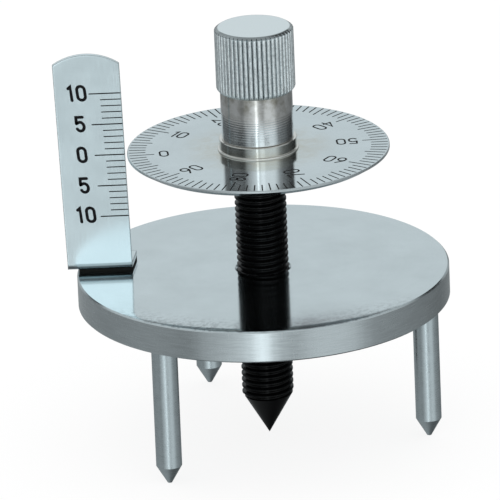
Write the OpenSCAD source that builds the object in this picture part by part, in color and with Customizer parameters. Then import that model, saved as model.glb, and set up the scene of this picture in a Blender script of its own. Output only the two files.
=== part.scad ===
// Spherometer: a round base plate on three pointed legs carries a micrometer screw with a
// graduated dial and a knurled knob. An upright scale beside the dial counts the whole turns.
// Millimetres, +Z up. The origin lies on the screw's axis, in the plane of the leg points.

/* [Base plate] */
// Diameter of the round plate
plate_d = 57.5; // [56:0.5:70]
// Thickness of the plate
plate_t = 5; // [4.5:0.1:8]
// Bevel round the plate's two rims
plate_bevel = 0.25; // [0.1:0.05:1]
// Width of the countersink at each mouth of the screw hole
mouth_bevel = 0.3; // [0.1:0.05:1]

/* [Legs] */
// Diameter of the circle that the legs stand on
leg_circle_d = 50; // [40:0.5:52]
// Diameter of a leg
leg_d = 4; // [3.2:0.1:5]
// Height of the plate's underside above the leg points
leg_reach = 22.35; // [16:0.05:30]
// Direction of the leg that faces away from the scale, in degrees from +X
leg_turn = -8.7; // [-20:0.1:10]
// Diameter of the blunt end of a leg point
leg_tip_d = 0.7; // [0.3:0.05:1.2]
// Diameter of the spigot that seats in the plate
spigot_d = 2.6; // [2:0.1:3]
// Length of the spigot
spigot_l = 3.5; // [2:0.1:4]

/* [Micrometer screw] */
// Diameter over the thread crests
screw_d = 8; // [6.5:0.1:9]
// Included angle of the turned points, on the screw and on the legs
point_angle = 60; // [50:1:80]
// Height of the screw's point above the leg points at the zero reading
point_lift = 0.1; // [0:0.05:0.5]
// Diameter of the shank that carries the dial and the knob
shank_d = 6; // [4:0.1:6.4]
// Length of the shank inside the knob
shank_grip = 11; // [6:0.5:14]
// Travel of the screw to either side of the zero reading
screw_travel = 10; // [5:1:12]

/* [Dial] */
// Diameter of the dial
dial_d = 40.4; // [32:0.1:42]
// Thickness of the dial
dial_t = 0.5; // [0.4:0.05:1.5]
// Height of the dial's face above the plate at the zero reading
dial_rise = 19.6; // [16:0.1:26]
// Bevel on the dial's upper rim
dial_bevel = 0.1; // [0.05:0.05:0.3]

/* [Collar and knob] */
// Diameter of the collar on the dial
collar_d = 12; // [10.5:0.1:14]
// Height of the collar
collar_h = 1.8; // [1.2:0.1:4]
// Diameter of the knob's plain barrel
barrel_d = 11.1; // [9.5:0.1:11.2]
// Height of the barrel
barrel_h = 7.65; // [4:0.05:12]
// Diameter over the knurl
grip_d = 12.2; // [12.1:0.1:16]
// Height of the knurled grip
grip_h = 10.2; // [6:0.1:16]
// Number of knurl ridges
knurl_count = 50; // [30:1:60]
// Depth of the knurl
knurl_depth = 0.45; // [0.15:0.05:0.5]
// Share of the knurl's pitch that a ridge's flat crest takes
knurl_crest = 0.46; // [0.1:0.02:0.6]
// Share of the knurl's pitch that the floor of a groove takes
knurl_floor = 0.12; // [0.05:0.01:0.3]
// Height of the sloped end under the grip
grip_slope = 0.75; // [0.5:0.05:2]
// Width of the bevel round the knob's top
cap_bevel_w = 0.6; // [0.2:0.05:0.8]
// Height of the bevel round the knob's top
cap_bevel_h = 0.45; // [0.2:0.05:1]
// Width of the small bevels on the knob and the collar
turned_bevel = 0.25; // [0.1:0.05:0.4]

/* [Knob lock] */
// Diameter of the grub screw that locks the knob on the shank
grub_d = 2.5; // [2:0.1:3]
// Depth of the grub screw's outer end below the barrel's surface
grub_recess = 0.3; // [0.2:0.05:0.5]
// Height of the grub screw above the foot of the barrel
grub_rise = 2.6; // [1.9:0.1:2.7]
// Width across the flats of its hexagon socket
socket_w = 1.3; // [0.9:0.1:1.5]
// Depth of its hexagon socket
socket_h = 1.1; // [0.5:0.1:1.3]

/* [Upright scale] */
// Width of the scale at its foot
scale_w = 10; // [8:0.1:12]
// Width of the scale under its crown
crown_w = 10.3; // [8:0.1:12]
// Lean of the scale's inner edge away from the dial, in degrees
scale_lean = 1.2; // [0:0.1:2]
// Height of the scale's crown above the plate
scale_h = 35.65; // [32:0.05:45]
// Thickness of the bent sheet
scale_t = 0.8; // [0.5:0.05:1.2]
// Radius of the crown
crown_r = 9; // [7:0.5:20]
// Gap between the dial's rim and the scale's edge at the lowest reading
rim_gap = 0.1; // [0.1:0.05:1]
// Inner radius of the bend above the foot
bend_r = 0.4; // [0.3:0.05:1]
// Length of the foot behind the scale's face
foot_l = 6.2; // [5.6:0.1:10]
// How far the foot widens towards its end, on the dial's side
foot_flare = 0.65; // [0:0.05:1]
// Thickness of the packing strip between the foot and the plate
packing_t = 0.5; // [0.3:0.1:1.5]
// Distance of the packing strip from the plate's rim
packing_margin = 0.3; // [0.1:0.05:1]

/* [Scale screws] */
// Diameter of the two fixing screws
fixing_d = 1.6; // [1.4:0.1:1.8]
// Diameter of their heads
fixing_head_d = 3; // [2.6:0.1:3.3]
// Height of their heads
fixing_head_h = 1; // [0.8:0.1:1.6]
// Distance between the two screws
fixing_pitch = 3.6; // [3.4:0.1:4.2]
// Distance of the inner screw from the scale's inner edge
fixing_inset = 2.3; // [2:0.1:2.8]
// Depth of the screws in the plate
fixing_depth = 3.2; // [2:0.1:3.8]
// Width of the screwdriver slot
slot_w = 0.4; // [0.3:0.05:0.6]
// Depth of the screwdriver slot
slot_h = 0.5; // [0.3:0.05:0.65]

/* [Fits] */
// Radial clearance of the screw in the plate
running_fit = 0.05; // [0.02:0.01:0.1]
// Radial clearance of pieces that are seated for good
seat_fit = 0.02; // [0.01:0.01:0.05]
// Space past the end of a spigot, screw or shank in its blind hole
end_space = 0.4; // [0.2:0.1:0.6]

/* [Hidden] */
$fn = 96;

plate_z = leg_reach;
plate_top = plate_z + plate_t;
dial_top = plate_top + dial_rise;
dial_z = dial_top - dial_t;
collar_top = dial_top + collar_h;
barrel_top = collar_top + barrel_h;
knob_top = barrel_top + grip_h;
point_slope = tan(point_angle / 2);
lean_slope = tan(scale_lean);
scale_right = -dial_d / 2 - rim_gap - screw_travel * lean_slope;
scale_top = plate_top + scale_h;
crown_right = scale_right - (scale_top - dial_top) * lean_slope;
outer_bend_r = bend_r + scale_t;
foot_z = plate_top + packing_t;
bend_y = scale_t + bend_r;
bend_z = foot_z + outer_bend_r;
foot_right = scale_right + (dial_top - bend_z) * lean_slope;
foot_left = foot_right - scale_w;
fixing_x = foot_right - fixing_inset;
fixing_y = (bend_y + foot_l) / 2;
fixing_places = [for (i = [0, 1]) [fixing_x - i * fixing_pitch, fixing_y]];
leg_angles = [leg_turn - 120, leg_turn, leg_turn + 120];
grub_z = collar_top + grub_rise;
overcut = 1;

// A solid of revolution from [radius, height] points.
module turned(points) {
    rotate_extrude() polygon(points);
}

// Carries a piece to the place of leg number i.
module at_leg(i) {
    a = leg_angles[i];
    translate([leg_circle_d / 2 * cos(a), leg_circle_d / 2 * sin(a), 0]) children();
}

// A drill for a through hole from z0 to z1 that opens in a countersink at both mouths.
module countersunk_drill(d, z0, z1, bevel) {
    r = d / 2;
    turned([[0, z0 - overcut], [r + bevel + overcut, z0 - overcut], [r, z0 + bevel],
            [r, z1 - bevel], [r + bevel + overcut, z1 + overcut], [0, z1 + overcut]]);
}

module base_plate() {
    r = plate_d / 2;
    socket_d = spigot_d + 2 * seat_fit;
    tapped_d = fixing_d + 2 * seat_fit;
    color("silver") difference() {
        turned([[0, plate_z], [r - plate_bevel, plate_z], [r, plate_z + plate_bevel],
                [r, plate_top - plate_bevel], [r - plate_bevel, plate_top], [0, plate_top]]);
        countersunk_drill(screw_d + 2 * running_fit, plate_z, plate_top, mouth_bevel);
        for (i = [0 : 2]) at_leg(i) translate([0, 0, plate_z - overcut])
            cylinder(d = socket_d, h = overcut + spigot_l + end_space);
        for (p = fixing_places) translate([p.x, p.y, plate_top - fixing_depth - end_space])
            cylinder(d = tapped_d, h = fixing_depth + end_space + overcut);
    }
}

// One leg: a rod with a blunted point below and a shouldered spigot above.
module leg(i) {
    r = leg_d / 2;
    tip_r = leg_tip_d / 2;
    point_h = (r - tip_r) / point_slope;
    spigot_r = spigot_d / 2;
    color("lightsteelblue") at_leg(i)
        turned([[0, 0], [tip_r, 0], [r, point_h], [r, plate_z], [spigot_r, plate_z],
                [spigot_r, plate_z + spigot_l], [0, plate_z + spigot_l]]);
}

module micrometer_screw() {
    r = screw_d / 2;
    shank_r = shank_d / 2;
    shank_top = collar_top + shank_grip;
    color([0.08, 0.08, 0.09])
        turned([[0, point_lift], [r, point_lift + r / point_slope], [r, dial_z], [shank_r, dial_z],
                [shank_r, shank_top - turned_bevel], [shank_r - turned_bevel, shank_top], [0, shank_top]]);
}

module dial() {
    r = dial_d / 2;
    bore_r = shank_d / 2 + seat_fit;
    color("gainsboro")
        turned([[bore_r, dial_z], [r, dial_z], [r, dial_top - dial_bevel],
                [r - dial_bevel, dial_top], [bore_r, dial_top]]);
}

module dial_collar() {
    r = collar_d / 2;
    bore_r = shank_d / 2 + seat_fit;
    color("darkgray")
        turned([[bore_r, dial_top], [r - turned_bevel, dial_top], [r, dial_top + turned_bevel],
                [r, collar_top - turned_bevel], [r - turned_bevel, collar_top], [bore_r, collar_top]]);
}

// Cross-section of the grip: straight ridges with flat crests, pressed into its rim.
module knurl_outline() {
    crest = grip_d / 2;
    root = crest - knurl_depth;
    pitch = 360 / knurl_count;
    foot = (1 - knurl_floor) / 2;
    shoulder = knurl_crest / 2;
    ridge = [[-foot, root], [-shoulder, crest], [shoulder, crest], [foot, root]];
    polygon([for (i = [0 : knurl_count - 1]) for (corner = ridge)
             let (angle = (i + corner[0]) * pitch)
             [corner[1] * cos(angle), corner[1] * sin(angle)]]);
}

module knob() {
    crest = grip_d / 2;
    barrel_r = barrel_d / 2;
    bore_r = shank_d / 2 + seat_fit;
    bore_top = collar_top + shank_grip + end_space;
    color("whitesmoke") difference() {
        union() {
            turned([[0, collar_top], [barrel_r - turned_bevel, collar_top],
                    [barrel_r, collar_top + turned_bevel], [barrel_r, barrel_top + grip_slope / 2],
                    [0, barrel_top + grip_slope / 2]]);
            intersection() {
                translate([0, 0, barrel_top]) linear_extrude(grip_h) knurl_outline();
                turned([[0, barrel_top], [barrel_r, barrel_top], [crest, barrel_top + grip_slope],
                        [crest, knob_top - cap_bevel_h], [crest - cap_bevel_w, knob_top], [0, knob_top]]);
            }
        }
        translate([0, 0, collar_top - overcut])
            cylinder(r = bore_r, h = overcut + bore_top - collar_top);
        translate([0, 0, grub_z]) rotate([-90, 0, 0])
            cylinder(d = grub_d + 2 * seat_fit, h = barrel_r + overcut);
    }
}

// Grub screw at the back of the barrel, with its hexagon socket outwards.
module knob_grub_screw() {
    inner = shank_d / 2 + seat_fit;
    outer = barrel_d / 2 - grub_recess;
    color("dimgray") translate([0, 0, grub_z]) rotate([-90, 0, 0]) difference() {
        translate([0, 0, inner]) cylinder(d = grub_d, h = outer - inner);
        translate([0, 0, outer - socket_h])
            cylinder(d = socket_w / cos(30), h = socket_h + overcut, $fn = 6);
    }
}

// Outline of the upright blade: leaning edges under a rounded crown.
module blade_outline() {
    intersection() {
        polygon([[foot_left, bend_z], [foot_right, bend_z], [crown_right, scale_top],
                 [crown_right - crown_w, scale_top]]);
        translate([crown_right - crown_w / 2, scale_top - crown_r]) union() {
            circle(r = crown_r);
            translate([-scale_h, -scale_h]) square([2 * scale_h, scale_h]);
        }
    }
}

// A plate with the foot's outline and its two screw holes, from z0 up.
module foot_sheet(z0, thickness) {
    hole_d = fixing_d + 2 * running_fit;
    translate([0, 0, z0]) linear_extrude(thickness) difference() {
        polygon([[foot_left, bend_y], [foot_right, bend_y], [foot_right + foot_flare, foot_l],
                 [foot_left, foot_l]]);
        for (p = fixing_places) translate(p) circle(d = hole_d);
    }
}

// Bent sheet: an upright blade, its face in line with the screw's axis, and a foot behind it.
module upright_scale() {
    color("lightgray") union() {
        translate([0, scale_t, 0]) rotate([90, 0, 0]) linear_extrude(scale_t) blade_outline();
        translate([foot_left, bend_y, bend_z]) rotate([90, 0, 90])
            quarter_ring(bend_r, outer_bend_r, scale_w);
        foot_sheet(foot_z, scale_t);
    }
}

// Packing strip that lifts the foot clear of the plate, trimmed to the plate's rim.
module scale_packing() {
    color([0.05, 0.05, 0.05]) intersection() {
        foot_sheet(plate_top, packing_t);
        translate([0, 0, plate_top]) cylinder(d = plate_d - 2 * packing_margin, h = packing_t);
    }
}

// A quarter of a ring of rectangular section, from -X round to -Y, w long along +Z.
module quarter_ring(inner_r, outer_r, w) {
    intersection() {
        difference() {
            cylinder(r = outer_r, h = w);
            translate([0, 0, -overcut]) cylinder(r = inner_r, h = w + 2 * overcut);
        }
        translate([-outer_r, -outer_r, 0]) cube([outer_r, outer_r, w]);
    }
}

// Two slotted cheese-head screws that hold the foot down.
module scale_screws() {
    seat = foot_z + scale_t;
    shank_r = fixing_d / 2;
    head_r = fixing_head_d / 2;
    color("gray") for (p = fixing_places) translate([p.x, p.y, 0]) difference() {
        turned([[0, plate_top - fixing_depth], [shank_r, plate_top - fixing_depth], [shank_r, seat],
                [head_r, seat], [head_r, seat + fixing_head_h - turned_bevel],
                [head_r - turned_bevel, seat + fixing_head_h], [0, seat + fixing_head_h]]);
        translate([-fixing_head_d, -slot_w / 2, seat + fixing_head_h - slot_h])
            cube([2 * fixing_head_d, slot_w, slot_h + overcut]);
    }
}

base_plate();
leg(0);  // leg_front
leg(1);  // leg_right
leg(2);  // leg_rear
micrometer_screw();
dial();
dial_collar();
knob();
knob_grub_screw();
upright_scale();
scale_packing();
scale_screws();
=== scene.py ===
"""Looks of the spherometer: a threaded screw, a knurled knob, engraved dial and scale, and turned steel."""

import math

import bmesh
import bpy
from mathutils import Matrix, Vector


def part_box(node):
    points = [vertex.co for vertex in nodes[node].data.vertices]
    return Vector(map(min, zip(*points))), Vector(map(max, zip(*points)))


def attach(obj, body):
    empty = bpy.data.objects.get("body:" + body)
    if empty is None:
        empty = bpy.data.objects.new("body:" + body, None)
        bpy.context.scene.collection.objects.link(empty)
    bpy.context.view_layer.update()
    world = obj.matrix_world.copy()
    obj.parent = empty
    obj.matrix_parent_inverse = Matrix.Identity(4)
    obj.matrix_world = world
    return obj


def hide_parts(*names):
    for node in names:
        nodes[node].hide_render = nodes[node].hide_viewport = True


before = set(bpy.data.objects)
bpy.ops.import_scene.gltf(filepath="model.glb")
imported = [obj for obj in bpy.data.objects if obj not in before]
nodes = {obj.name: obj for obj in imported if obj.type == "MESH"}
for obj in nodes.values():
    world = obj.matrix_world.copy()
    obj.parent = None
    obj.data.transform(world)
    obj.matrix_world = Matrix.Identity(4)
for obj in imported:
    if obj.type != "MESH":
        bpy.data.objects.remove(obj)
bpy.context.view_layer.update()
scene = bpy.context.scene
MM = 0.001

# Sizes in millimetres, read from the frame
plate_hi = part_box("base_plate")[1] / MM
screw_lo, screw_hi = [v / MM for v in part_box("micrometer_screw")]
dial_lo, dial_hi = [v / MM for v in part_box("dial")]
knob_lo, knob_hi = [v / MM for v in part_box("knob")]
scale_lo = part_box("upright_scale")[0] / MM
collar_lo, collar_hi = [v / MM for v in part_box("dial_collar")]
grub_lo, grub_hi = [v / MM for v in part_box("knob_grub_screw")]

# Sizes in millimetres that the boxes don't give
PITCH = 1.0
THREAD_DEPTH = 0.5
POINT_SLOPE = math.tan(math.radians(30))  # radius by height on the screw's point
SHANK_R = 3.0
BORE_R = SHANK_R + 0.02
BARREL_R = 5.55
GRIP_Z = 56.4  # lower end of the knurled grip
RIDGES = 50
TRAVEL = 10  # of the screw, either way
DIVISIONS = 100
DIAL_TURN = 4.6  # degrees from the scale's side to the dial's zero
RIM_GAP = 0.1  # from the dial's rim to the scale, at the bottom of the travel
SCALE_LEAN = math.tan(math.radians(1.2))
SCALE_EDGE = dial_lo.x - RIM_GAP - TRAVEL * SCALE_LEAN  # the scale's edge at the dial's height at rest
FIGURE_LEAN = math.tan(math.radians(6))


# Meshes


def mesh_object(name, bm):
    """Turns a bmesh into an object of the scene."""
    mesh = bpy.data.meshes.new(name)
    bm.to_mesh(mesh)
    bm.free()
    obj = bpy.data.objects.new(name, mesh)
    scene.collection.objects.link(obj)
    return obj


def new_object(name, bm, body, material, smooth_angle=None):
    """Turns a bmesh in millimetres into a piece that rides on a body."""
    bmesh.ops.scale(bm, vec=(MM, MM, MM), verts=bm.verts)
    bmesh.ops.recalc_face_normals(bm, faces=bm.faces)
    obj = mesh_object(name, bm)
    obj.data.materials.append(material)
    if smooth_angle is not None:
        obj.data.shade_smooth()
        obj.data.set_sharp_from_angle(angle=math.radians(smooth_angle))
    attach(obj, body)
    return obj


def on_circle(r, k, count):
    """The k-th of count points on a circle about the axis."""
    a = 2 * math.pi * k / count
    return r * math.cos(a), r * math.sin(a)


def grid_faces(bm, rows):
    """Faces between successive rings of vertices, each of which may be one vertex repeated."""
    for a, b in zip(rows, rows[1:]):
        for i in range(len(a)):
            k = (i + 1) % len(a)
            corners = []
            for v in (a[i], a[k], b[k], b[i]):
                if v not in corners:
                    corners.append(v)
            if len(corners) > 2:
                bm.faces.new(corners)


def lathe(bm, profile, segments):
    """A shell of revolution from (radius, height) points, closed where they start and end on the axis."""
    rows = []
    for r, z in profile:
        if r == 0:
            rows.append([bm.verts.new((0, 0, z))] * segments)
        else:
            rows.append([bm.verts.new((*on_circle(r, i, segments), z)) for i in range(segments)])
    grid_faces(bm, rows)


def turned_ring(profile, segments):
    """A closed ring of revolution from a profile that goes round once."""
    bm = bmesh.new()
    lathe(bm, profile + profile[:1], segments)
    bmesh.ops.remove_doubles(bm, verts=bm.verts, dist=1e-6)
    return bm


def smoothstep(a, b, x):
    t = min(1.0, max(0.0, (x - a) / (b - a)))
    return t * t * (3 - 2 * t)


def threaded_screw():
    """Right-hand thread with rounded crests that runs out on the turned point, and the shank above it."""
    bm = bmesh.new()
    around, per_pitch = 96, 12
    root = screw_hi.x - THREAD_DEPTH
    tip, top = screw_lo.z, dial_lo.z
    shank_inset, chamfer = 0.4, 0.25

    def radius(phase, z):
        t = phase % 1.0
        climb = smoothstep(0.08, 0.42, t) - smoothstep(0.58, 0.92, t)
        return max(0.0, min(root + THREAD_DEPTH * climb, (z - tip) * POINT_SLOPE))

    columns = []
    for i in range(around):
        turn = i / around
        column = []
        for j in range(int((top - tip) / PITCH * per_pitch) + 2 * per_pitch):
            z = min(top, max(tip, tip + (j / per_pitch - 1 + turn) * PITCH))
            r = radius((z - tip) / PITCH - turn, z)
            column.append(bm.verts.new((*on_circle(r, i, around), z)))
        columns.append(column)
    # The last column meets the first one a pitch further up
    columns.append(columns[0][per_pitch:])
    for this, following in zip(columns, columns[1:]):
        for j in range(min(len(this), len(following)) - 1):
            bm.faces.new((this[j], following[j], following[j + 1], this[j + 1]))
    bmesh.ops.remove_doubles(bm, verts=bm.verts, dist=1e-4)
    bmesh.ops.dissolve_degenerate(bm, dist=1e-4, edges=bm.edges)
    loose = [v for v in bm.verts if not v.link_faces]
    bmesh.ops.delete(bm, geom=loose, context="VERTS")
    open_edges = [e for e in bm.edges if e.is_boundary]
    bmesh.ops.holes_fill(bm, edges=open_edges, sides=0)
    lathe(bm, [(0, top - shank_inset), (SHANK_R, top - shank_inset), (SHANK_R, screw_hi.z - chamfer),
               (SHANK_R - chamfer, screw_hi.z), (0, screw_hi.z)], 64)
    return bm


def knob_barrel():
    """The knob's plain barrel, with the shallow rings that the turning tool left on its lower half."""
    bm = bmesh.new()
    foot, bevel = knob_lo.z, 0.14
    bore_top, core_top, core_r = foot + 11.4, foot + 11.9, 4.4
    top = GRIP_Z + 0.6
    ring_pitch, ring_depth, step = 0.4, 0.0055, 0.025
    profile = [(0, bore_top), (BORE_R, bore_top), (BORE_R, foot), (BARREL_R - bevel, foot),
               (BARREL_R - 0.03, foot + bevel - 0.05)]
    z = foot + bevel
    while z < top:
        ring = (0.5 - 0.5 * math.cos(2 * math.pi * (z - foot) / ring_pitch)) ** 3
        begin = smoothstep(foot + 0.4, foot + 0.9, z)
        fade = 1 - 0.85 * smoothstep(foot + 3.2, foot + 5.2, z)
        profile.append((BARREL_R - ring_depth * ring * begin * fade, z))
        z += step
    profile += [(core_r, top), (core_r, core_top), (0, core_top)]
    lathe(bm, profile, 128)
    return bm


def cut_grub_hole(barrel):
    """Cuts the grub screw's hole into the back of the barrel."""
    r, depth, middle = 1.27 * MM, 6 * MM, 5.6 * MM
    bm = bmesh.new()
    place = Matrix.Translation((0, middle, (grub_lo.z + grub_hi.z) / 2 * MM))
    bmesh.ops.create_cone(bm, cap_ends=True, segments=48, radius1=r, radius2=r, depth=depth,
                          matrix=place @ Matrix.Rotation(math.radians(90), 4, "X"))
    drill = mesh_object("grub_hole", bm)
    cut = barrel.modifiers.new("grub hole", "BOOLEAN")
    cut.object = drill
    cut.operation = "DIFFERENCE"
    cut.solver = "EXACT"
    bpy.context.view_layer.update()
    drilled = barrel.evaluated_get(bpy.context.evaluated_depsgraph_get())
    whole = bpy.data.meshes.new_from_object(drilled)
    barrel.modifiers.clear()
    barrel.data = whole
    bpy.data.objects.remove(drill)


def bevelled_dial():
    """The dial's disc, with a thin upright rim over a bevel that is turned into its underside."""
    r, top, seat = dial_hi.x, dial_hi.z, dial_lo.z
    rim, edge, bevel_w, bevel_h = 0.35, 0.1, 1.3, 0.8
    low = top - rim - bevel_h
    shoulder = screw_hi.x + 0.05
    return turned_ring([(BORE_R, top), (BORE_R, seat), (shoulder, seat), (shoulder, low),
                        (r - bevel_w, low), (r, top - rim), (r, top - edge), (r - edge, top)], 256)


def lipped_collar():
    """The dial's collar: a sharp-edged ring with a low, rounded lip at its foot."""
    r, foot, top = collar_hi.x, collar_lo.z, collar_hi.z
    lip, edge = 0.28, 0.06
    rounding = [(1.0, 0.0), (1.0, 0.1), (0.85, 0.2), (0.5, 0.26), (0.0, 0.28)]
    outside = [(r + lip * share, foot + rise) for share, rise in rounding]
    return turned_ring([(BORE_R, foot)] + outside + [(r, top - edge), (r - edge, top), (BORE_R, top)], 128)


def knob_grip():
    """The straight-knurled grip: rounded ridges, cut back at the lower end and under the bevelled cap."""
    bm = bmesh.new()
    crest, depth, top = knob_hi.x, 0.45, knob_hi.z
    per_ridge, half_ridge, roundness = 16, 0.46, 2.6
    around = RIDGES * per_ridge
    bevel_w, bevel_h, bevel_curve = 0.6, 0.45, 1.4
    slope_r, slope_h = BARREL_R - 0.02, 0.75
    straight_h = top - bevel_h - GRIP_Z - slope_h

    def knurl(i):
        t = abs((i % per_ridge) / per_ridge - 0.5) / half_ridge
        return crest - depth + depth * math.sqrt(max(0.0, 1 - t ** roundness))

    def cap(z):
        return crest - bevel_w * max(0.0, (z - top + bevel_h) / bevel_h) ** bevel_curve

    def slope(z):
        t = min(1.0, (z - GRIP_Z) / slope_h)
        return slope_r + (crest - slope_r) * math.sin(math.pi / 2 * t)

    levels = [GRIP_Z + slope_h * k / 8 for k in range(9)]
    levels += [GRIP_Z + slope_h + straight_h * k / 12 for k in range(1, 13)]
    levels += [top - bevel_h + bevel_h * k / 8 for k in range(1, 9)]
    rows = [[bm.verts.new((0, 0, GRIP_Z))] * around]
    for z in levels:
        radii = [min(knurl(i), slope(z), cap(z)) for i in range(around)]
        rows.append([bm.verts.new((*on_circle(r, i, around), z)) for i, r in enumerate(radii)])
    for r in (5.3, 3.6, 1.8):
        rows.append([bm.verts.new((*on_circle(r, i, around), top)) for i in range(around)])
    rows.append([bm.verts.new((0, 0, top))] * around)
    grid_faces(bm, rows)
    return bm


# Engraved figures and graduation lines, filled with black


def arc(cx, cy, rx, ry, start, end, steps=14):
    """Points on part of an ellipse, between two angles in degrees."""
    angles = [math.radians(start + (end - start) * k / steps) for k in range(steps + 1)]
    return [(cx + rx * math.cos(a), cy + ry * math.sin(a)) for a in angles]


PROUD, SUNK = 0.012, 0.02  # how far the filling stands out of the steel and reaches into it
W = 0.52  # width of a figure of height 1, between the middles of its strokes
HALF = W / 2
# Each figure as a list of strokes: whether the stroke closes on itself, and its path
FIGURES = {
    "0": [(True, arc(HALF, 1 - HALF, HALF, HALF, 0, 180) + arc(HALF, HALF, HALF, HALF, 180, 360))],
    "1": [(False, [(0.04, 0.86), (0.2, 1.0), (0.2, 0.0)])],
    "2": [(False, arc(HALF, 0.74, HALF, 0.26, 165, -25, 12) + [(0.0, 0.0), (W, 0.0)])],
    "3": [(False, arc(HALF, 0.76, HALF, 0.24, 160, -90) + arc(HALF, 0.27, HALF, 0.27, 85, -160))],
    "4": [(False, [(W * 0.78, 0.0), (W * 0.78, 1.0), (0.0, 0.28), (W * 1.05, 0.28)])],
    "5": [(False, [(W * 0.94, 1.0), (0.05, 1.0), (0.02, 0.54)]),
          (False, [(0.02, 0.54)] + arc(HALF, 0.32, HALF, 0.32, 100, -150))],
    "6": [(False, [(W * 0.72, 1.0)] + arc(W * 0.95, 0.36, W * 0.95, 0.42, 140, 180, 5)[:-1]
           + arc(HALF, 0.27, HALF, 0.27, 180, 535, 22))],
    "7": [(False, [(0.0, 1.0), (W, 1.0), (W * 0.34, 0.0)])],
    "8": [(True, arc(HALF, 0.76, W * 0.44, 0.24, -90, 270, 20)),
          (True, arc(HALF, 0.26, HALF, 0.26, 90, 450, 20))],
    "9": [(False, [(W * 0.28, 0.0)] + arc(W * 0.05, 0.64, W * 0.95, 0.42, -40, 0, 5)[:-1]
           + arc(HALF, 0.73, HALF, 0.27, 0, 355, 22))],
}


def ribbon(bm, points, width, place, closed=False):
    """A flat stroke of the given width along a polyline. place maps (u, v, height) to space."""
    path = [points[0]]
    for p in points[1:]:
        if math.dist(p, path[-1]) > 1e-5:
            path.append(p)
    if closed and math.dist(path[0], path[-1]) < 1e-5:
        path.pop()
    n, half = len(path), width / 2
    left, right = [], []
    for k, p in enumerate(path):
        before = path[k - 1] if closed or k else None
        after = path[(k + 1) % n] if closed or k < n - 1 else None
        dirs = []
        for a, b in ((before, p), (p, after)):
            if a is not None and b is not None:
                d = math.dist(a, b)
                dirs.append(((b[0] - a[0]) / d, (b[1] - a[1]) / d))
        dx, dy = sum(d[0] for d in dirs), sum(d[1] for d in dirs)
        size = math.hypot(dx, dy)
        dx, dy = dx / size, dy / size
        mitre = half * min(2.0, 1 / max(0.3, dx * dirs[0][0] + dy * dirs[0][1]))
        left.append((p[0] - dy * mitre, p[1] + dx * mitre))
        right.append((p[0] + dy * mitre, p[1] - dx * mitre))

    def round_end(p, a):
        """Points on the half circle about p that starts at a."""
        start = math.atan2(a[1] - p[1], a[0] - p[0])
        angles = [start - math.pi * k / 6 for k in range(1, 6)]
        return [(p[0] + half * math.cos(t), p[1] + half * math.sin(t)) for t in angles]

    if closed:
        loops = [left, right]
    else:
        loops = [left + round_end(path[-1], left[-1]) + right[::-1] + round_end(path[0], right[0])]
    walls = [[[bm.verts.new(place(u, v, h)) for u, v in loop] for h in (PROUD, -SUNK)] for loop in loops]
    for upper, lower in walls:
        m = len(upper)
        for k in range(m):
            bm.faces.new((upper[k], upper[(k + 1) % m], lower[(k + 1) % m], lower[k]))
    for level in (0, 1):
        if closed:
            inner, outer = walls[0][level], walls[1][level]
            for k in range(n):
                bm.faces.new((outer[k], outer[(k + 1) % n], inner[(k + 1) % n], inner[k]))
        else:
            bm.faces.new(walls[0][level])


def figure_span(figure):
    """The left and right ends of a figure of height 1, at the middles of its strokes."""
    xs = [p[0] for _, path in FIGURES[figure] for p in path]
    return min(xs), max(xs)


def figures(bm, text, height, stroke, gap, place):
    """Engraves a number. place maps (u, v, height) to space, u along it and v up it from its lower left."""
    u0 = 0.0
    tall = height - stroke
    for figure in text:
        low, high = figure_span(figure)
        for closed, path in FIGURES[figure]:
            shifted = [((x - low) * tall + u0 + stroke / 2, y * tall + stroke / 2) for x, y in path]
            ribbon(bm, shifted, stroke, place, closed)
        u0 += (high - low) * tall + stroke + gap


def figures_width(text, height, stroke, gap):
    """The width of a number that figures() engraves."""
    spans = [figure_span(figure) for figure in text]
    return sum((high - low) * (height - stroke) + stroke + gap for low, high in spans) - gap


def on_dial(a, r, v0=0.0):
    """Maps (u, v, height) to the dial's face, u inwards from radius r at angle a and v clockwise from v0."""
    radial = Vector((math.cos(a), math.sin(a), 0))
    across = Vector((math.sin(a), -math.cos(a), 0))

    def place(u, v, h):
        p = radial * (r - u) + across * (v - v0)
        return p.x, p.y, dial_hi.z + h

    return place


def dial_marks():
    """The dial's lines, and at each tenth a number that reads inwards."""
    bm = bmesh.new()
    tens, fives, ones, width, rim_gap = 3.9, 3.25, 2.6, 0.2, 0.25
    text_r, tall, stroke, gap = 15.35, 2.65, 0.29, 0.35
    for k in range(DIVISIONS):
        a = math.radians(180 + DIAL_TURN - 360 / DIVISIONS * k)
        length = tens if k % 10 == 0 else fives if k % 5 == 0 else ones
        line = [(width / 2, 0), (length - width / 2, 0)]
        ribbon(bm, line, width, on_dial(a, dial_hi.x - rim_gap))
        if k % 10 == 0:
            figures(bm, str(k), tall, stroke, gap, on_dial(a, text_r, tall / 2))
    return bm


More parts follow.
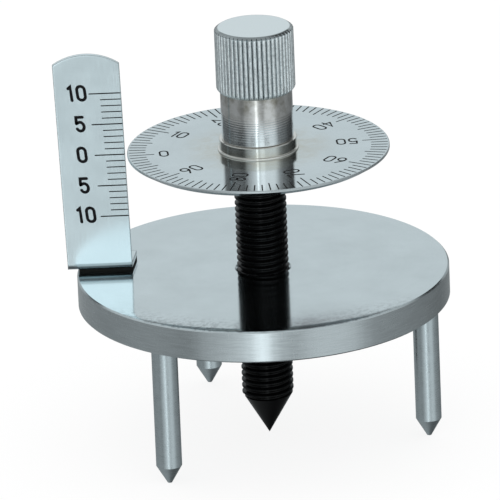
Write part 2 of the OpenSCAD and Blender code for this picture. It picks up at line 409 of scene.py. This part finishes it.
def scale_marks():
    """The scale's millimetre lines, and at each fifth a number that leans to the left."""
    bm = bmesh.new()
    face, zero = scale_lo.y, dial_hi.z - 0.24
    fives, ones, shorter, edge_gap, line_start = 4.8, 3.15, 0.0285, 0.1, 0.08
    tall, stroke, gap = 2.72, 0.48, 0.48
    for k in range(-TRAVEL, TRAVEL + 1):
        z = zero + k
        edge = SCALE_EDGE - (z - dial_hi.z) * SCALE_LEAN
        major = k % 5 == 0
        length = (fives if major else ones) - shorter * (TRAVEL - k)

        def on_line(u, v, h):
            return edge - edge_gap - u, face - h, z + v

        ribbon(bm, [(line_start, 0), (length, 0)], 0.19 if major else 0.16, on_line)
        if not major:
            continue
        text = str(abs(k))
        start = edge - (5.3 if len(text) > 1 else 5.8) - figures_width(text, tall, stroke, gap)
        middle = z + 0.17
        if k == -TRAVEL:
            # The lowest number stands a little to the right and higher, as in the photograph
            start += 0.2
            middle = z + 0.35

        def on_text(u, v, h):
            rise = v - tall / 2
            return start + u - FIGURE_LEAN * rise, face - h, middle + rise

        figures(bm, text, tall, stroke, gap, on_text)
    return bm


# Materials


class Tree:
    """Short hand for building a node tree."""

    def __init__(self, tree):
        self.tree = tree

    def add(self, kind, **settings):
        node = self.tree.nodes.new(kind)
        for key, value in settings.items():
            setattr(node, key, value)
        return node

    def link(self, a, b):
        self.tree.links.new(a, b)

    def feed(self, socket, value):
        """Sets a socket to a number, or links it to a node's output."""
        if isinstance(value, (int, float)):
            socket.default_value = value
        else:
            self.link(value, socket)

    def math(self, operation, *values):
        node = self.add("ShaderNodeMath", operation=operation)
        for socket, value in zip(node.inputs, values):
            self.feed(socket, value)
        return node.outputs[0]

    def plus(self, a, b):
        return self.math("ADD", a, b)

    def minus(self, a, b):
        return self.math("SUBTRACT", a, b)

    def times(self, first, *others):
        for other in others:
            first = self.math("MULTIPLY", first, other)
        return first

    def spread(self, value, low, high, start=0.3, end=0.7, shape="LINEAR"):
        """Goes from low to high while the value goes from start to end."""
        node = self.add("ShaderNodeMapRange", interpolation_type=shape)
        self.link(value, node.inputs["Value"])
        for key, number in (("From Min", start), ("From Max", end), ("To Min", low), ("To Max", high)):
            node.inputs[key].default_value = number
        return node.outputs["Result"]

    def rises(self, value, start=0.3, end=0.7, shape="LINEAR"):
        return self.spread(value, 0.0, 1.0, start, end, shape)

    def falls(self, value, start, end):
        return self.spread(value, 1.0, 0.0, start, end)

    def mix(self, factor, a, b):
        """Mixes two numbers."""
        node = self.add("ShaderNodeMix", data_type="FLOAT")
        for socket, value in zip(node.inputs[:1] + node.inputs[2:4], (factor, a, b)):
            self.feed(socket, value)
        return node.outputs[0]

    def blend(self, factor, a, b):
        """Mixes two colours, each a tuple or a node's output."""
        node = self.add("ShaderNodeMix", data_type="RGBA")
        self.link(factor, node.inputs["Factor"])
        for key, colour in (("A", a), ("B", b)):
            if isinstance(colour, tuple):
                node.inputs[key].default_value = (*colour, 1)
            else:
                self.link(colour, node.inputs[key])
        return node.outputs["Result"]


class Surface(Tree):
    """A material with the Principled shader."""

    def __init__(self, name):
        self.material = bpy.data.materials.new(name)
        self.material.use_nodes = True
        super().__init__(self.material.node_tree)
        self.shader = self.tree.nodes["Principled BSDF"]

    def set(self, **values):
        """Sets the shader's sockets, with _ for the spaces in their names."""
        for key, value in values.items():
            self.shader.inputs[key.replace("_", " ")].default_value = value

    def into(self, socket, output):
        self.link(output, self.shader.inputs[socket])

    def coordinates(self):
        """The piece's own coordinates in millimetres, as a vector and as x, y and z."""
        where = self.add("ShaderNodeTexCoord")
        scaled = self.add("ShaderNodeVectorMath", operation="SCALE")
        scaled.inputs["Scale"].default_value = 1 / MM
        self.link(where.outputs["Object"], scaled.inputs[0])
        apart = self.add("ShaderNodeSeparateXYZ")
        self.link(scaled.outputs[0], apart.inputs[0])
        return scaled.outputs[0], apart.outputs[0], apart.outputs[1], apart.outputs[2]

    def radius(self, x, y):
        """The distance from the axis."""
        return self.math("SQRT", self.plus(self.times(x, x), self.times(y, y)))

    def vector(self, x, y, z):
        node = self.add("ShaderNodeCombineXYZ")
        for socket, value in zip(node.inputs, (x, y, z)):
            self.feed(socket, value)
        return node.outputs[0]

    def stretched(self, where, *factors):
        """Coordinates multiplied by one factor each."""
        node = self.add("ShaderNodeVectorMath", operation="MULTIPLY")
        self.link(where, node.inputs[0])
        node.inputs[1].default_value = factors
        return node.outputs[0]

    def noise(self, vector, scale, detail, w=None, rough=0.55):
        node = self.add("ShaderNodeTexNoise", noise_dimensions="3D" if w is None else "4D")
        node.inputs["Scale"].default_value = scale
        node.inputs["Detail"].default_value = detail
        node.inputs["Roughness"].default_value = rough
        self.link(vector, node.inputs["Vector"])
        if w is not None:
            self.link(w, node.inputs["W"])
        return node.outputs["Fac"]

    def bump(self, height, strength, distance, normal=None):
        node = self.add("ShaderNodeBump")
        node.inputs["Strength"].default_value = strength
        node.inputs["Distance"].default_value = distance * MM
        self.link(height, node.inputs["Height"])
        if normal is not None:
            self.link(normal, node.inputs["Normal"])
        return node.outputs["Normal"]

    def across_grain(self):
        """Turns the highlight across the turning marks, which run round the axis."""
        tangent = self.add("ShaderNodeTangent", direction_type="RADIAL", axis="Z")
        self.into("Tangent", tangent.outputs[0])
        self.set(Anisotropic_Rotation=0.25)


PAINTED_DARK_REFLECTION = (0.22, 0.23, 0.245)  # painted dark reflection: specks and a smear at the rolled-off front edge of a turned face
# random dark mottling on the knurl, with painted shade in its grooves and on the cap's bevel
KNURL_DIRT_AND_SHADE = (0.2, 0.212, 0.217)
EDGE_SHADE = (0.16, 0.17, 0.18)


def turned_steel(name, low, high, rough, marks, grain=0.5, fineness=14.0, stain=None, rim=None, rolled=None):
    """Lathe-turned steel: fine rings round the axis, blotches of tone, a few stray scratches and stains.

    stain is (colour, from, to, along): a film that grows along the radius or the height.
    rim is (radius, roughness): a polished face inside a duller rim that keeps its tool lines.
    rolled is (width, drop), for a face with a rim: how polishing has rolled off its edge at the front,
    where dark specks, and a dark smear on the right, are painted reflection.
    """
    n = Surface(name)
    where, x, y, z = n.coordinates()
    radius = n.radius(x, y)
    n.set(Metallic=1.0, Anisotropic=grain)
    n.across_grain()
    round_axis = n.vector(n.times(radius, fineness), n.times(z, fineness), n.times(x, 0.12))
    rings = n.noise(round_axis, 1.0, 4.0, w=n.times(y, 0.12))
    blotches = n.noise(where, 0.16, 4.0)
    lengthwise = n.plus(x, n.times(y, 0.6))
    crosswise = n.minus(y, n.times(x, 0.6))
    strays = n.noise(n.vector(n.times(lengthwise, 0.35), n.times(crosswise, 9.0), n.times(z, 0.4)), 1.0, 2.0)
    scratch = n.rises(strays, 0.66, 0.72)
    tone = n.plus(n.times(n.rises(blotches), 0.65), n.times(n.rises(rings), 0.35))
    level = n.plus(n.spread(rings, rough * 0.8, rough * 1.2),
                   n.plus(n.spread(blotches, -0.02, 0.03), n.times(scratch, 0.06)))
    normal = n.bump(rings, marks, 0.004)
    if rim is not None:
        edge, rim_rough = rim
        on_rim = n.rises(radius, edge - 0.2, edge - 0.1)
        tool = n.noise(n.stretched(where, 0.3, 0.3, 5.0), 1.0, 5.0, rough=0.7)
        tone = n.plus(tone, n.times(n.spread(tool, -1.1, 1.1), on_rim))
        level = n.plus(level, n.times(n.spread(tool, rim_rough * 0.7, rim_rough * 1.3), on_rim))
    colour = n.blend(tone, low, high)
    if stain is not None:
        film, start, end, along = stain
        grows = n.rises(radius if along == "radius" else z, start, end)
        patches = n.spread(n.noise(where, 0.5, 5.0), 0.25, 1.0, 0.38, 0.66)
        colour = n.blend(n.times(grows, patches), colour, film)
    if rolled is not None:
        width, drop = rolled
        front = n.falls(y, -edge * 0.85, -edge * 0.5)
        on_face = n.times(front, n.minus(1.0, on_rim))
        # Painted dark reflection: specks near the rolled-off front edge
        specks = n.spread(n.noise(where, 1.2, 5.0, rough=0.8), 0.0, 0.7, 0.46, 0.58)
        specks = n.times(specks, n.rises(radius, edge - 6.5, edge - 0.6))
        colour = n.blend(n.times(specks, on_face), colour, PAINTED_DARK_REFLECTION)
        # Painted dark reflection: a smear on the right of the front edge
        smear = n.math("POWER", n.rises(radius, edge - 13.0, edge - 0.5), 2.0)
        smear = n.times(smear, n.rises(x, 2.5, 6.0), n.spread(x, 1.5, 0.0, 4.0, 17.5))
        smear = n.times(smear, n.spread(n.noise(where, 0.9, 4.0), 0.6, 1.0))
        colour = n.blend(n.times(smear, on_face), colour, PAINTED_DARK_REFLECTION)
        fall = n.math("POWER", n.rises(radius, edge - width, edge), 2.0)
        normal = n.bump(n.times(fall, front, -1.0), 1.0, drop, normal)
    if rim is not None:
        colour = n.blend(n.times(on_rim, 0.3), colour, low[:1] * 3)
    n.into("Base Color", colour)
    n.into("Roughness", level)
    n.into("Normal", n.bump(scratch, 0.25, 0.002, normal))
    return n.material


def drawn_steel(name, low, high, rough):
    """Rod and screw steel: satin, with faint rings and small matt spots."""
    n = Surface(name)
    where, *_ = n.coordinates()
    n.set(Metallic=1.0)
    rings = n.noise(n.stretched(where, 0.5, 0.5, 8.0), 1.0, 3.0)
    spots = n.noise(where, 0.7, 4.0)
    tone = n.plus(n.times(n.rises(rings), 0.4), n.times(n.rises(spots), 0.6))
    n.into("Base Color", n.blend(tone, low, high))
    n.into("Roughness", n.plus(n.spread(rings, rough * 0.85, rough * 1.15), n.spread(spots, -0.03, 0.04)))
    n.into("Normal", n.bump(rings, 0.015, 0.002))
    return n.material


def brushed_sheet(name, low, high, rough, fold):
    """Sheet steel brushed along its length, with painted shade on its rounded edges and a painted dark line
    of shade at the height fold.

    Its face is shaded as if it were turned by five degrees.
    """
    n = Surface(name)
    where, x, _, z = n.coordinates()
    n.set(Metallic=1.0)
    grain = n.noise(n.stretched(where, 11.0, 0.35, 0.35), 1.0, 4.0)
    blotches = n.noise(where, 0.22, 4.0)
    tone = n.plus(n.times(n.rises(blotches), 0.5), n.times(n.rises(grain), 0.5))
    edges = n.add("ShaderNodeBevel", samples=8)
    edges.inputs["Radius"].default_value = 0.3 * MM
    faces = n.add("ShaderNodeNewGeometry")
    facing = n.add("ShaderNodeVectorMath", operation="DOT_PRODUCT")
    n.link(edges.outputs[0], facing.inputs[0])
    n.link(faces.outputs["True Normal"], facing.inputs[1])
    # Painted shade on the rounded edges
    painted_edge_shade = n.spread(facing.outputs["Value"], 0.55, 0.0, 0.84, 0.98)
    # Painted shade: a dark line along the bend, at the height fold
    line = n.times(n.spread(z, 0.0, 0.8, fold - 0.3, fold - 0.1), n.falls(z, fold + 0.1, fold + 0.3))
    n.into("Base Color", n.blend(n.math("MAXIMUM", painted_edge_shade, line), n.blend(tone, low, high), EDGE_SHADE))
    n.into("Roughness", n.plus(n.spread(grain, rough * 0.8, rough * 1.25), n.spread(blotches, -0.03, 0.03)))
    turned = n.bump(n.times(x, -math.tan(math.radians(5))), 1.0, 1.0, edges.outputs[0])
    n.into("Normal", n.bump(grain, 0.08, 0.002, turned))
    return n.material


def knurled_steel(name, low, high, rough):
    """Pressed knurl: satin ridges, torn and pitted in places, under a smooth faced crown."""
    n = Surface(name)
    where, x, y, z = n.coordinates()
    top = knob_hi.z
    n.set(Metallic=1.0)
    sides = n.falls(z, top - 0.5, top - 0.42)
    crown = n.minus(1.0, sides)
    pits = n.noise(where, 5.0, 5.0, rough=0.65)
    smear = n.noise(n.stretched(where, 3.0, 3.0, 0.8), 1.0, 4.0)
    rings = n.noise(n.vector(n.times(n.radius(x, y), 9.0), 0.0, n.times(x, 0.1)), 1.0, 3.0)
    knurl = n.times(n.falls(z, top - 0.8, top - 0.5), n.rises(z, GRIP_Z, GRIP_Z + 0.1))
    phase = n.math("FRACT", n.times(n.math("ARCTAN2", y, x), RIDGES / (2 * math.pi)))
    # Painted shade down the grooves between the ridges; the mottling below is the knurl's own tone
    groove_shade = n.rises(n.math("ABSOLUTE", n.minus(phase, 0.5)), 0.35, 0.49)
    mottle = n.noise(n.stretched(where, 1.0, 1.0, 0.7), 2.4, 5.0, rough=0.7)
    mottle = n.spread(mottle, 0.36, 0.0, 0.36, 0.54)
    grime_and_shade = n.math("MAXIMUM", n.times(groove_shade, n.spread(smear, 0.35, 1.0)), mottle)
    # Painted shade on the cap's bevel, all round
    bevel = n.times(n.spread(z, 0.0, 0.62, top - 0.44, top - 0.4), n.falls(z, top - 0.04, top - 0.01))
    grime_and_shade = n.math("MAXIMUM", n.times(grime_and_shade, knurl), bevel)
    tone = n.times(n.rises(smear), sides)
    n.into("Base Color", n.blend(grime_and_shade, n.blend(tone, low, high), KNURL_DIRT_AND_SHADE))
    n.into("Roughness", n.plus(n.times(n.spread(pits, rough * 0.8, rough * 1.3), sides),
                               n.times(n.spread(rings, rough * 0.25, rough * 0.35), crown)))
    torn = n.bump(n.times(n.plus(pits, n.times(smear, 0.6)), sides), 0.75, 0.055)
    n.into("Normal", n.bump(n.times(rings, crown), 0.15, 0.004, torn))
    return n.material


def black_oxide(name):
    """Oiled black finish with faint smears and worn thread crests."""
    n = Surface(name)
    where, x, y, _ = n.coordinates()
    n.set(Metallic=0.0, IOR=1.24)
    smears = n.noise(n.stretched(where, 1.0, 1.0, 0.4), 0.9, 4.0)
    grit = n.noise(where, 6.0, 3.0)
    crests = n.rises(n.radius(x, y), screw_hi.x - 0.06, screw_hi.x)
    worn = n.times(crests, n.rises(smears, 0.45, 0.75))
    n.into("Base Color", n.blend(worn, (0.002, 0.002, 0.0022), (0.012, 0.012, 0.013)))
    n.into("Roughness", n.spread(n.plus(n.times(smears, 0.6), n.times(grit, 0.4)), 0.1, 0.2))
    n.into("Normal", n.bump(grit, 0.08, 0.01))
    return n.material


def black_filling(name):
    """Enamel rubbed into the engraved lines: matt, and thinner in places."""
    n = Surface(name)
    where, *_ = n.coordinates()
    n.set(IOR=1.3)
    thin = n.noise(where, 2.2, 4.0)
    n.into("Base Color", n.blend(n.rises(thin, 0.5, 0.8), (0.003, 0.003, 0.004), (0.02, 0.021, 0.023)))
    n.into("Roughness", n.spread(thin, 0.5, 0.75))
    n.into("Normal", n.bump(n.noise(where, 9.0, 3.0), 0.2, 0.008))
    return n.material


def black_fibre(name):
    """Pressed fibre packing: matt black with short fibres."""
    n = Surface(name)
    where, *_ = n.coordinates()
    n.set(IOR=1.35)
    fibres = n.noise(n.stretched(where, 2.0, 7.0, 7.0), 1.0, 4.0)
    n.into("Base Color", n.blend(n.rises(fibres), (0.004, 0.004, 0.004), (0.014, 0.014, 0.013)))
    n.into("Roughness", n.spread(fibres, 0.7, 0.9))
    n.into("Normal", n.bump(fibres, 0.3, 0.03))
    return n.material


plate_steel = turned_steel("plate_steel", (0.57, 0.632, 0.653), (0.66, 0.731, 0.756), 0.1, marks=0.1,
                           grain=0.4, rim=(plate_hi.x, 0.13), rolled=(1.8, 0.15))
leg_steel = drawn_steel("leg_steel", (0.54, 0.60, 0.62), (0.64, 0.71, 0.735), 0.3)
dial_steel = turned_steel("dial_steel", (0.59, 0.653, 0.676), (0.68, 0.753, 0.779), 0.09, marks=0.1,
                          stain=((0.54, 0.53, 0.47), 12.5, 6.0, "radius"), rim=(dial_hi.x, 0.3))
collar_steel = turned_steel("collar_steel", (0.64, 0.63, 0.59), (0.78, 0.77, 0.74), 0.1, marks=0.15)
barrel_steel = turned_steel("barrel_steel", (0.78, 0.77, 0.765), (0.92, 0.915, 0.915), 0.12, marks=0.2,
                            stain=((0.34, 0.325, 0.28), GRIP_Z - 5.0, GRIP_Z - 1.5, "height"),
                            fineness=10.0)
grip_steel = knurled_steel("grip_steel", (0.77, 0.831, 0.848), (0.95, 0.995, 1.0), 0.33)
scale_steel = brushed_sheet("scale_steel", (0.76, 0.855, 0.885), (0.85, 0.955, 0.985), 0.17,
                            fold=scale_lo.z + 0.55)
screw_black = black_oxide("screw_black")
filling = black_filling("engraving_filling")
packing_fibre = black_fibre("packing_fibre")
fastener_steel = drawn_steel("fastener_steel", (0.40, 0.40, 0.41), (0.54, 0.54, 0.55), 0.28)

for node, material in (("base_plate", plate_steel), ("leg_front", leg_steel), ("leg_right", leg_steel),
                       ("leg_rear", leg_steel), ("dial", dial_steel), ("dial_collar", collar_steel),
                       ("upright_scale", scale_steel), ("scale_packing", packing_fibre),
                       ("scale_screws", fastener_steel), ("knob_grub_screw", fastener_steel),
                       ("micrometer_screw", screw_black), ("knob", grip_steel)):
    nodes[node].material_slots[0].material = material

# Pieces that stand for the plain CAD solids, and the engraving

screw = new_object("screw_thread", threaded_screw(), "spindle", screw_black, 40)
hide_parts("micrometer_screw")
barrel = new_object("knob_barrel", knob_barrel(), "spindle", barrel_steel, 40)
cut_grub_hole(barrel)
grip = new_object("knob_grip", knob_grip(), "spindle", grip_steel, 50)
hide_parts("knob")
disc = new_object("dial_disc", bevelled_dial(), "spindle", dial_steel, 25)
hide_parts("dial")
collar = new_object("collar_ring", lipped_collar(), "carriage", collar_steel, 25)
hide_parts("dial_collar")
new_object("dial_markings", dial_marks(), "spindle", filling)
new_object("scale_markings", scale_marks(), "base", filling)

# Camera, fitted to the photograph's view

camera_data = bpy.data.cameras.new("camera")
camera = bpy.data.objects.new("camera", camera_data)
scene.collection.objects.link(camera)
camera_data.sensor_width = 36
camera_data.lens = 648
camera_data.clip_start, camera_data.clip_end = 0.05, 20
right = (0.999175, -0.013852, -0.038168)
up = (0.040604, 0.340860, 0.939237)
back = (0.0, -0.940012, 0.341142)
place = (-1.9184 * MM, -1305.7 * MM, 504.078 * MM)
camera.matrix_world = Matrix([[right[i], up[i], back[i], place[i]] for i in range(3)] + [[0, 0, 0, 1]])
scene.camera = camera

# Floor: a white of its own that the camera sees, over a grey that takes the soft shadow

floor_bm = bmesh.new()
bmesh.ops.create_grid(floor_bm, x_segments=2, y_segments=2, size=2.0)
floor = mesh_object("floor", floor_bm)
floor.visible_glossy = False
paper = Surface("floor")
paper.set(Base_Color=(0.17, 0.17, 0.17, 1), Roughness=0.9, Specular_IOR_Level=0.0)
paper.set(Emission_Color=(1, 1, 1, 1))
floor_path = paper.add("ShaderNodeLightPath")
paper.into("Emission Strength", paper.times(floor_path.outputs["Is Camera Ray"], 0.85))
floor.data.materials.append(paper.material)

# Light: a white world, in which the metal mirrors a tent of pale and dark cloths

CLOTH = (0.93, 1.0, 1.025)
BRIGHTEST = 2.2  # of the stops below
# Brightness by the angle from the camera's side in degrees, positive to the right
LOW_WALL = [
    (-180, 0.4), (-150, 0.3), (-110, 0.29), (-96, 0.31), (-83, 0.32), (-71, 0.335), (-60, 0.31), (-50, 0.26),
    (-44, 0.31), (-40, 0.45), (-30, 0.52), (-20, 0.64), (-11, 0.84), (-7, 0.95), (-4.5, 1.7), (-0.5, 1.7),
    (2.5, 0.9), (8, 0.6), (17, 0.45), (22, 0.54), (26, 0.7), (46, 0.72), (56, 0.67), (62, 0.5), (68, 0.36),
    (85, 0.3), (100, 0.28), (116, 0.235), (140, 0.18), (166, 0.26), (176, 0.4), (180, 0.4)]
MID_WALL = [
    (-180, 0.77), (-150, 0.5), (-100, 0.4), (-50, 0.45), (-30, 0.8), (0, 0.9), (40, 0.9), (70, 0.6),
    (110, 0.4), (150, 0.45), (180, 0.77)]
HIGH_WALL = [
    (-180, 0.77), (-152, 0.72), (-146, 0.4), (-138, 0.15), (-116, 0.1), (-98, 0.08), (-80, 0.13), (-64, 0.1),
    (-50, 0.055), (-43, 0.1), (-36, 0.34), (-22, 0.65), (-10, 0.97), (-7, 1.05), (-6, 2.2), (-2.5, 2.2),
    (-1, 1.05), (4, 1.05), (6, 1.35), (16, 1.35), (20, 1.05), (50, 1.0), (58, 0.75), (68, 0.36), (80, 0.18),
    (95, 0.12), (109, 0.08), (125, 0.04), (142, 0.04), (148, 0.3), (154, 0.72), (180, 0.77)]
ROOF_SIDE = [
    (-180, 0.3), (-165, 0.3), (-150, 0.5), (-135, 0.68), (60, 0.68), (100, 0.58), (113, 0.5), (122, 0.12),
    (148, 0.12), (156, 0.3), (180, 0.3)]
ROOF_TOP = 0.5

world = bpy.data.worlds.new("studio")
scene.world = world
world.use_nodes = True
sky = Tree(world.node_tree)
sky.tree.nodes.clear()
direction = sky.add("ShaderNodeTexCoord")
parts = sky.add("ShaderNodeSeparateXYZ")
sky.link(direction.outputs["Generated"], parts.inputs[0])
sideways, ahead, height = parts.outputs
azimuth = sky.math("ARCTAN2", sideways, sky.times(ahead, -1.0))
turn = sky.plus(sky.math("DIVIDE", azimuth, 2 * math.pi), 0.5)


def tent_ramp(stops):
    """The brightness that the stops give, by the azimuth of the direction."""
    node = sky.add("ShaderNodeValToRGB")
    sky.link(turn, node.inputs[0])
    band = node.color_ramp
    while len(band.elements) > 1:
        band.elements.remove(band.elements[-1])
    for k, (angle, grey) in enumerate(stops):
        position = angle / 360 + 0.5
        element = band.elements[0] if k == 0 else band.elements.new(position)
        element.position = position
        element.color = (grey / BRIGHTEST, grey / BRIGHTEST, grey / BRIGHTEST, 1)
    return sky.times(node.outputs[0], BRIGHTEST)


def stacked(start, end, lower, upper):
    """The lower brightness up to the height start, and the upper one from the height end."""
    return sky.mix(sky.rises(height, start, end, "SMOOTHSTEP"), lower, upper)


ground = sky.spread(sideways, 0.34, 0.12, -0.4, 0.4, "SMOOTHSTEP")
sides = stacked(-0.05, 0.1, tent_ramp(LOW_WALL), tent_ramp(MID_WALL))
walls = stacked(0.23, 0.29, sides, tent_ramp(HIGH_WALL))
below = stacked(-0.75, -0.55, ground, walls)
roof = stacked(0.82, 0.96, tent_ramp(ROOF_SIDE), ROOF_TOP)
tent = sky.add("ShaderNodeVectorMath", operation="SCALE")
tent.inputs[0].default_value = CLOTH
sky.link(stacked(0.42, 0.5, below, roof), tent.inputs["Scale"])
sky_path = sky.add("ShaderNodeLightPath")
background = sky.add("ShaderNodeBackground")
background.inputs["Strength"].default_value = 1.0
seen = sky.blend(sky_path.outputs["Is Glossy Ray"], (1.0, 1.0, 1.0), tent.outputs[0])
sky.link(seen, background.inputs["Color"])
output = sky.add("ShaderNodeOutputWorld")
sky.link(background.outputs[0], output.inputs["Surface"])

scene.view_settings.view_transform = "Standard"
